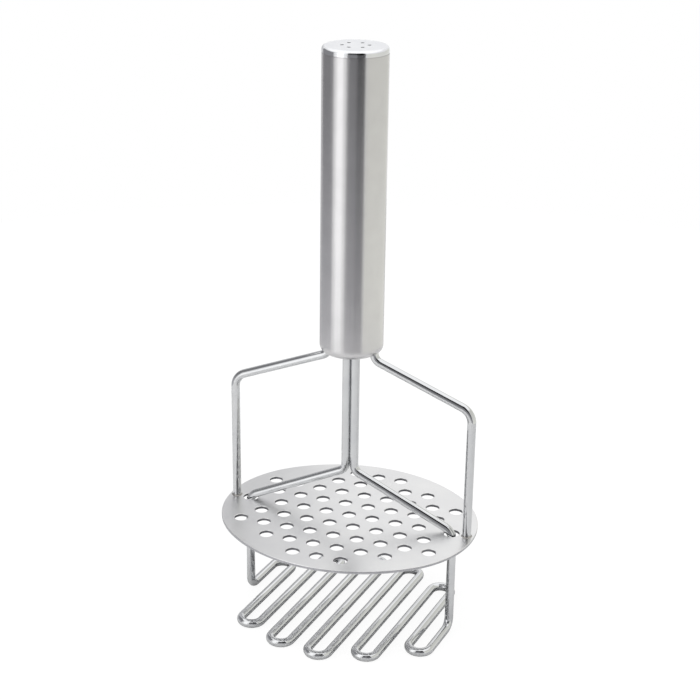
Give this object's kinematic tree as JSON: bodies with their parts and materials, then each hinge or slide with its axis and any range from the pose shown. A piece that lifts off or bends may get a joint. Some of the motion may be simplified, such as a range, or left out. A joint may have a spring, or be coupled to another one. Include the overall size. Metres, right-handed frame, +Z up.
{
  "type": "potato masher",
  "caption": "Spring-loaded potato masher: an oval perforated plate hangs from a tube handle, and a zigzag wire grid slides up towards it to press food between the two.",
  "frame": {"origin": "on the ground under the middle of the grid, on the handle's axis", "axes": "+Z up along the handle, +X towards the right hanger, -Y towards the picture's front"},
  "size_m": [0.106, 0.092, 0.2361],
  "materials": {
    "satin_tube": "satin, drawn stainless tube",
    "bright_cap": "bright, pressed stainless sheet",
    "satin_plate": "satin stainless sheet",
    "bright_wire": "polished stainless wire",
    "plain_steel": "plain turned steel",
    "spring_steel": "drawn spring wire",
    "nylon": "matt moulded nylon"
  },
  "bodies": {
    "handle_frame": {"handle_shell": "satin_tube", "handle_cap": "bright_cap", "hanger_left": "bright_wire", "hanger_right": "bright_wire", "mashing_plate": "satin_plate", "guide_plug": "nylon", "spring_seat": "nylon", "return_spring": "spring_steel"},
    "press": {"press_wire": "bright_wire", "rod_ferrule": "plain_steel", "spring_slider": "nylon", "slider_washer": "plain_steel"}
  },
  "joints": [
    {"name": "press_slide", "type": "slide", "parent": "handle_frame", "child": "press", "axis": [0, 0, 1], "range_m": [0, 0.038], "stiffness_N_per_m": 500, "springref_m": -0.02, "deforming": ["return_spring"]}
  ]
}
